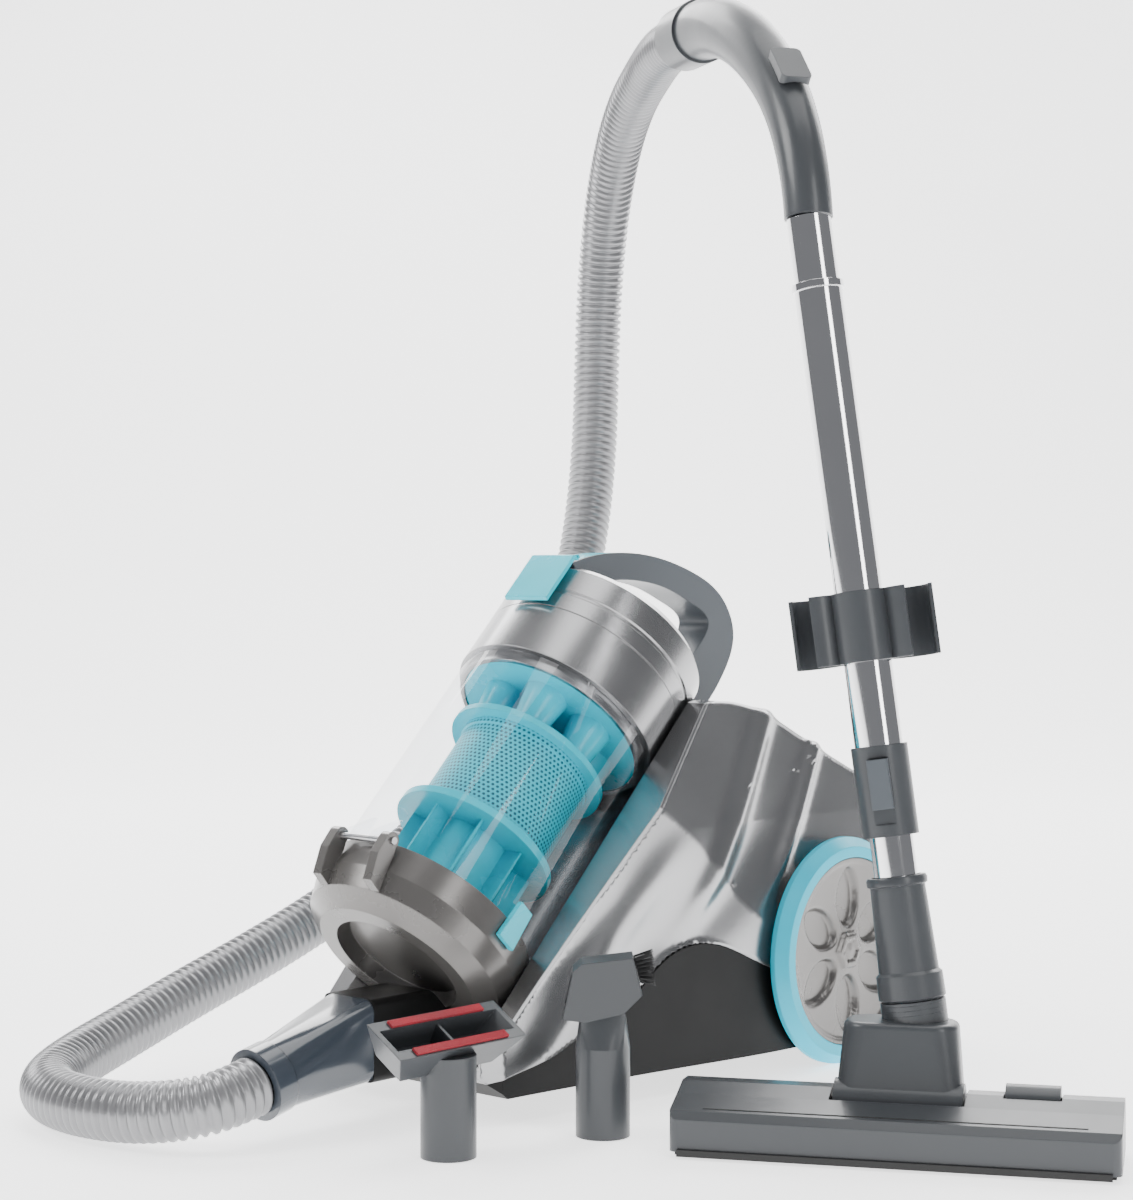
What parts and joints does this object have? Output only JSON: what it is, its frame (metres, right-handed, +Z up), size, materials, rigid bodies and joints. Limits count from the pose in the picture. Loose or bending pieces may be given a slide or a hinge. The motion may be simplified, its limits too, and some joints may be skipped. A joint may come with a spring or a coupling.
{
  "type": "canister vacuum cleaner",
  "caption": "Bagless canister vacuum cleaner with leaning clear dust bin, ribbed hose, telescopic wand, floor head and two hand tools standing beside it.",
  "frame": {"origin": "centre of the footprint of everything but the hose, at floor level", "axes": "+Z up, the canister faces -Y with its left side to +X"},
  "size_m": [0.7162, 0.717, 0.813],
  "materials": {
    "black_housing": "fine moulded grain",
    "silver_shell": "satin metallic paint",
    "grey_plastic": "fine moulded grain",
    "handle_grey": "satin",
    "warm_grey": "fine moulded grain",
    "cyan_plastic": "glossy",
    "clear_plastic": "clear polished",
    "smoked_plastic": "glossy, slightly translucent",
    "hose_skin": "ribbed, silver grey",
    "chrome": "polished",
    "steel": "brushed",
    "lint_red": "brushed pile",
    "bristle": "bristles",
    "foam": "open foam",
    "filter_paper": "pleated paper",
    "motor_metal": "painted",
    "rubber": "matt",
    "tyre_cyan": "satin, soft plastic rim"
  },
  "bodies": {
    "canister": {"lower_housing": "black_housing", "upper_shell": "silver_shell", "cradle": "silver_shell", "nose_inlet": "black_housing", "motor_housing": "black_housing", "motor": "motor_metal", "motor_mounts": "rubber", "pre_motor_filter": "foam", "hepa_filter": "filter_paper", "pedal_bracket": "black_housing", "power_spring": "steel", "rewind_spring": "steel", "cord_gland": "rubber", "housing_screws": "steel", "wheel_axles": "steel", "hose": "hose_skin", "hose_connector": "smoked_plastic", "hose_collar": "smoked_plastic", "lower_tube": "chrome", "elbow": "grey_plastic"},
    "fan": {"fan_impeller": "black_housing"},
    "reel": {"cord_reel": "black_housing"},
    "exhaust": {"exhaust_cover": "warm_grey"},
    "power": {"power_pedal": "cyan_plastic"},
    "rewind": {"rewind_pedal": "cyan_plastic"},
    "wheel_left": {"tyre_left": "tyre_cyan", "hub_left": "warm_grey"},
    "wheel_right": {"tyre_right": "tyre_cyan", "hub_right": "warm_grey"},
    "caster": {"caster_fork": "black_housing"},
    "caster_roller": {"caster_wheel": "rubber"},
    "dust_bin": {"clear_bin": "clear_plastic", "bin_hinge_pin": "steel"},
    "bin_flap": {"bin_base": "warm_grey"},
    "bin_latch": {"base_latch": "cyan_plastic"},
    "cyclone_pack": {"lid_band": "silver_shell", "lid_cap": "silver_shell", "carry_handle": "handle_grey", "handle_inlay": "cyan_plastic", "cyclone_cones": "cyan_plastic", "mesh_shroud": "cyan_plastic", "vane_skirt": "cyan_plastic"},
    "lid_tab": {"release_tab": "cyan_plastic"},
    "upper_wand": {"upper_tube": "chrome", "lock_sleeve": "grey_plastic", "grip_tube": "grey_plastic", "swivel_cuff": "grey_plastic"},
    "regulator": {"regulator_slide": "grey_plastic"},
    "wand_lock": {"lock_slider": "handle_grey"},
    "clip": {"tool_clip": "grey_plastic"},
    "neck": {"neck": "grey_plastic"},
    "head": {"head_cover": "grey_plastic", "head_sole": "black_housing"},
    "head_rocker": {"head_pedal": "grey_plastic"},
    "brushes": {"brush_strips": "bristle"},
    "rollers": {"head_rollers": "rubber"},
    "upholstery": {"upholstery_tool": "grey_plastic", "lint_strips": "lint_red"},
    "duster": {"dusting_tool": "grey_plastic", "duster_bristles": "bristle"}
  },
  "joints": [
    {"name": "wheel_left_spin", "type": "hinge", "parent": "canister", "child": "wheel_left", "pos_m": [-0.1688, 0.1641, 0.0865], "axis": [1, 0, 0], "continuous": true},
    {"name": "wheel_right_spin", "type": "hinge", "parent": "canister", "child": "wheel_right", "pos_m": [-0.1688, 0.1641, 0.0865], "axis": [1, 0, 0], "continuous": true},
    {"name": "caster_swivel", "type": "hinge", "parent": "canister", "child": "caster", "pos_m": [-0.1688, -0.0859, 0.038], "axis": [0, 0, 1], "continuous": true},
    {"name": "caster_roll", "type": "hinge", "parent": "caster", "child": "caster_roller", "pos_m": [-0.1688, -0.0769, 0.0125], "axis": [1, 0, 0], "continuous": true},
    {"name": "fan_spin", "type": "hinge", "parent": "canister", "child": "fan", "pos_m": [-0.2188, 0.1641, 0.085], "axis": [0, 1, 0], "continuous": true},
    {"name": "reel_spin", "type": "hinge", "parent": "canister", "child": "reel", "pos_m": [-0.1688, 0.2041, 0.096], "axis": [1, 0, 0], "continuous": true},
    {"name": "power_press", "type": "slide", "parent": "canister", "child": "power", "axis": [0, 0, -1], "range_m": [0, 0.004], "stiffness_N_per_m": 900, "springref_m": -0.006, "deforming": ["power_spring"]},
    {"name": "rewind_press", "type": "slide", "parent": "canister", "child": "rewind", "axis": [0, 0, -1], "range_m": [0, 0.004], "stiffness_N_per_m": 900, "springref_m": -0.006, "deforming": ["rewind_spring"]},
    {"name": "exhaust_open", "type": "hinge", "parent": "canister", "child": "exhaust", "pos_m": [-0.1688, 0.3141, 0.1263], "axis": [1, 0, 0], "range_deg": [0, 80]},
    {"name": "dust_bin_lift", "type": "slide", "parent": "canister", "child": "dust_bin", "axis": [0, -0.5, 0.866], "range_m": [0, 0.25]},
    {"name": "bin_flap_open", "type": "hinge", "parent": "dust_bin", "child": "bin_flap", "pos_m": [-0.1688, -0.2131, 0.19383], "axis": [-1, 0, 0], "range_deg": [0, 30]},
    {"name": "bin_latch_press", "type": "slide", "parent": "dust_bin", "child": "bin_latch", "axis": [1, 0, 0], "range_m": [0, 0.003], "stiffness_N_per_m": 300, "springref_m": -0.003},
    {"name": "cyclone_lift", "type": "slide", "parent": "dust_bin", "child": "cyclone_pack", "axis": [0, 0.7071, 0.7071], "range_m": [0, 0.18]},
    {"name": "lid_tab_press", "type": "hinge", "parent": "cyclone_pack", "child": "lid_tab", "pos_m": [-0.1688, -0.01511, 0.38758], "axis": [-1, 0, 0], "range_deg": [0, 10], "stiffness_Nm_per_rad": 0.3, "springref_deg": -5.73},
    {"name": "wand_telescope", "type": "slide", "parent": "canister", "child": "upper_wand", "axis": [-0.155, -0.011, 0.9879], "range_m": [0, 0.3]},
    {"name": "regulator_slide", "type": "slide", "parent": "upper_wand", "child": "regulator", "axis": [-0.6104, 0.3846, 0.6925], "range_m": [0, 0.006]},
    {"name": "wand_lock_press", "type": "slide", "parent": "upper_wand", "child": "wand_lock", "axis": [0.155, 0.011, -0.9879], "range_m": [0, 0.008], "stiffness_N_per_m": 400, "springref_m": -0.003},
    {"name": "clip_slide", "type": "slide", "parent": "upper_wand", "child": "clip", "axis": [-0.155, -0.011, 0.9879], "range_m": [-0.05, 0.18]},
    {"name": "neck_swivel", "type": "hinge", "parent": "canister", "child": "neck", "pos_m": [0.1576, -0.026, 0.096], "axis": [-0.155, -0.011, 0.9879], "range_deg": [-90, 90]},
    {"name": "neck_pitch", "type": "hinge", "parent": "neck", "child": "head", "pos_m": [0.16279, -0.04849, 0.03], "axis": [-0.8829, -0.4695, 0], "range_deg": [-2, 45]},
    {"name": "head_pedal_rock", "type": "hinge", "parent": "head", "child": "head_rocker", "pos_m": [0.15997, -0.04319, 0.034], "axis": [0.8829, 0.4695, 0], "range_deg": [0, 8]},
    {"name": "brush_drop", "type": "slide", "parent": "head", "child": "brushes", "axis": [0, 0, -1], "range_m": [0, 0.005]},
    {"name": "roller_spin", "type": "hinge", "parent": "head", "child": "rollers", "pos_m": [0.15293, -0.02994, 0.007], "axis": [0.8829, 0.4695, 0], "continuous": true},
    {"name": "upholstery_lift", "type": "slide", "parent": "canister", "child": "upholstery", "axis": [0, 0, 1], "range_m": [0, 0.15]},
    {"name": "duster_lift", "type": "slide", "parent": "canister", "child": "duster", "axis": [0, 0, 1], "range_m": [0, 0.15]}
  ],
  "couplings": [
    {"joint": "bin_flap_open", "follows": "dust_bin_lift", "rad_per_m": 2.094},
    {"joint": "brush_drop", "follows": "head_pedal_rock", "m_per_rad": 0.0358}
  ]
}
